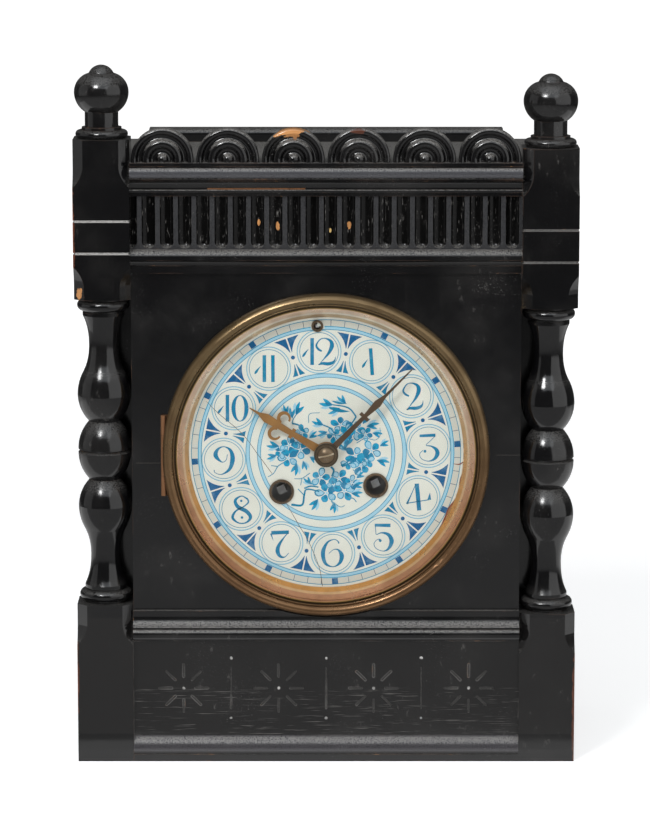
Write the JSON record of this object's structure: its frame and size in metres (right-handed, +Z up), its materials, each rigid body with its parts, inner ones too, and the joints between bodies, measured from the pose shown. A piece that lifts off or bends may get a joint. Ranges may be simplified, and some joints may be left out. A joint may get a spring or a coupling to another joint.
{
  "type": "mantel clock",
  "caption": "Ebonised wooden mantel clock with turned corner posts, fluted frieze and roundel cresting; hinged glass bezel over a painted dial, striking spring movement inside.",
  "frame": {"origin": "middle of the case's footprint, on the surface that the clock stands on", "axes": "+X to the right seen from the front, +Y to the back, +Z up"},
  "size_m": [0.223, 0.1119, 0.3127],
  "materials": {
    "ebonised_wood": "black ebonising stain under semi-gloss shellac, worn to brown wood on the arrises",
    "ebonised_turnings": "turned wood, ebonised and polished, dust in the grooves",
    "clock_brass": "aged lacquered brass, darker in the hollows",
    "dial_glaze": "cream glaze with printed blue chapters and a flower wreath, fine crazing",
    "bezel_glass": "clear domed glass",
    "polished_steel": "polished steel",
    "hand_bronze": "brown bronzed brass",
    "bell_metal": "bell metal, turned and lacquered"
  },
  "bodies": {
    "case": {"bottom_board": "ebonised_wood", "top_board": "ebonised_wood", "left_side_panel": "ebonised_wood", "right_side_panel": "ebonised_wood", "corner_stiles": "ebonised_wood", "back_board": "ebonised_wood", "front_panel": "ebonised_wood", "base_panel": "ebonised_wood", "frieze_panel": "ebonised_wood", "cornice_moulding": "ebonised_wood", "architrave_moulding": "ebonised_wood", "dado_moulding": "ebonised_wood", "plinth_moulding": "ebonised_wood", "left_post": "ebonised_turnings", "right_post": "ebonised_turnings", "left_finial": "ebonised_turnings", "right_finial": "ebonised_turnings", "cresting_roundels": "ebonised_turnings", "gallery_rail": "ebonised_wood", "dial_pan": "clock_brass", "dial": "dial_glaze", "dial_eyelets": "clock_brass", "front_plate": "clock_brass", "back_plate": "clock_brass", "pillars": "polished_steel", "winding_clicks": "polished_steel", "pendulum_cock": "clock_brass", "bell": "bell_metal", "bell_stand": "polished_steel", "rear_ring": "clock_brass", "fixing_straps": "polished_steel"},
    "bezel": {"bezel_rim": "clock_brass", "bezel_knuckle": "clock_brass", "sight_ring": "clock_brass", "bezel_glass": "bezel_glass"},
    "minute_hand": {"minute_hand": "hand_bronze", "hand_nut": "hand_bronze", "cannon_pinion": "clock_brass"},
    "hour_hand": {"hour_hand": "hand_bronze", "hour_wheel": "clock_brass"},
    "minute_wheel": {"minute_wheel": "clock_brass"},
    "going_barrel": {"going_barrel": "clock_brass"},
    "second_wheel": {"second_wheel": "clock_brass"},
    "centre_wheel": {"centre_wheel": "clock_brass"},
    "third_wheel": {"third_wheel": "clock_brass"},
    "escape_wheel": {"escape_wheel": "clock_brass"},
    "strike_barrel": {"strike_barrel": "clock_brass"},
    "pin_wheel": {"pin_wheel": "clock_brass"},
    "locking_wheel": {"locking_wheel": "clock_brass"},
    "fly": {"fly": "clock_brass"},
    "going_winding_arbor": {"going_winding_arbor": "polished_steel"},
    "strike_winding_arbor": {"strike_winding_arbor": "polished_steel"},
    "pendulum": {"pallets": "polished_steel", "suspension_spring": "polished_steel", "pendulum_rod": "polished_steel", "pendulum_bob": "clock_brass", "rating_nut": "clock_brass"},
    "hammer": {"hammer": "polished_steel"},
    "regulator_arbor": {"regulator_arbor": "polished_steel"},
    "back_door": {"back_door": "clock_brass"}
  },
  "joints": [
    {"name": "bezel_hinge", "type": "hinge", "parent": "case", "child": "bezel", "pos_m": [-0.0724, -0.0474, 0.1393], "axis": [0, 0, -1], "range_deg": [0, 95]},
    {"name": "back_door_hinge", "type": "hinge", "parent": "case", "child": "back_door", "pos_m": [-0.0662, 0.0546, 0.1393], "axis": [0, 0, 1], "range_deg": [0, 120]},
    {"name": "minute_hand_turn", "type": "hinge", "parent": "case", "child": "minute_hand", "pos_m": [0, -0.046, 0.1393], "axis": [0, 1, 0], "continuous": true},
    {"name": "hour_hand_turn", "type": "hinge", "parent": "case", "child": "hour_hand", "pos_m": [0, -0.0436, 0.1393], "axis": [0, 1, 0], "continuous": true},
    {"name": "minute_wheel_turn", "type": "hinge", "parent": "case", "child": "minute_wheel", "pos_m": [-0.00098, -0.031, 0.15367], "axis": [0, 1, 0], "continuous": true},
    {"name": "escape_wheel_turn", "type": "hinge", "parent": "case", "child": "escape_wheel", "pos_m": [-0.00177, 0, 0.16533], "axis": [0, 1, 0], "continuous": true},
    {"name": "third_wheel_turn", "type": "hinge", "parent": "case", "child": "third_wheel", "pos_m": [-0.00462, 0, 0.15421], "axis": [0, 1, 0], "continuous": true},
    {"name": "centre_wheel_turn", "type": "hinge", "parent": "case", "child": "centre_wheel", "pos_m": [0, 0, 0.1393], "axis": [0, 1, 0], "continuous": true},
    {"name": "second_wheel_turn", "type": "hinge", "parent": "case", "child": "second_wheel", "pos_m": [0.01941, 0, 0.14731], "axis": [0, 1, 0], "continuous": true},
    {"name": "going_barrel_turn", "type": "hinge", "parent": "case", "child": "going_barrel", "pos_m": [0.02216, 0, 0.12447], "axis": [0, 1, 0], "continuous": true},
    {"name": "fly_turn", "type": "hinge", "parent": "case", "child": "fly", "pos_m": [-0.02845, 0, 0.16226], "axis": [0, 1, 0], "continuous": true},
    {"name": "locking_wheel_turn", "type": "hinge", "parent": "case", "child": "locking_wheel", "pos_m": [-0.03268, 0, 0.15361], "axis": [0, 1, 0], "continuous": true},
    {"name": "pin_wheel_turn", "type": "hinge", "parent": "case", "child": "pin_wheel", "pos_m": [-0.02032, 0, 0.1446], "axis": [0, 1, 0], "continuous": true},
    {"name": "strike_barrel_turn", "type": "hinge", "parent": "case", "child": "strike_barrel", "pos_m": [-0.01994, 0, 0.1216], "axis": [0, 1, 0], "continuous": true},
    {"name": "going_winding_turn", "type": "hinge", "parent": "case", "child": "going_winding_arbor", "pos_m": [0.02216, 0, 0.12447], "axis": [0, 1, 0], "continuous": true},
    {"name": "strike_winding_turn", "type": "hinge", "parent": "case", "child": "strike_winding_arbor", "pos_m": [-0.01994, 0, 0.1216], "axis": [0, 1, 0], "continuous": true},
    {"name": "pendulum_swing", "type": "hinge", "parent": "case", "child": "pendulum", "pos_m": [-0.00259, 0.013, 0.1773], "axis": [0, 1, 0], "range_deg": [-3, 3]},
    {"name": "hammer_swing", "type": "hinge", "parent": "case", "child": "hammer", "pos_m": [-0.03835, 0, 0.1432], "axis": [0, 1, 0], "range_deg": [0, 12], "stiffness_Nm_per_rad": 0.001, "springref_deg": -28.65},
    {"name": "regulator_turn", "type": "hinge", "parent": "case", "child": "regulator_arbor", "pos_m": [-0.00391, 0, 0.19667], "axis": [0, 1, 0], "continuous": true}
  ],
  "couplings": [
    {"joint": "hour_hand_turn", "follows": "minute_hand_turn", "ratio": 0.083333},
    {"joint": "minute_wheel_turn", "follows": "minute_hand_turn", "ratio": -0.33333},
    {"joint": "third_wheel_turn", "follows": "escape_wheel_turn", "ratio": -0.089744},
    {"joint": "centre_wheel_turn", "follows": "escape_wheel_turn", "ratio": 0.0074786},
    {"joint": "second_wheel_turn", "follows": "escape_wheel_turn", "ratio": -0.0012464},
    {"joint": "going_barrel_turn", "follows": "escape_wheel_turn", "ratio": 0.00018697},
    {"joint": "locking_wheel_turn", "follows": "fly_turn", "ratio": -0.14583},
    {"joint": "pin_wheel_turn", "follows": "fly_turn", "ratio": 0.019444},
    {"joint": "strike_barrel_turn", "follows": "fly_turn", "ratio": -0.0029167}
  ]
}
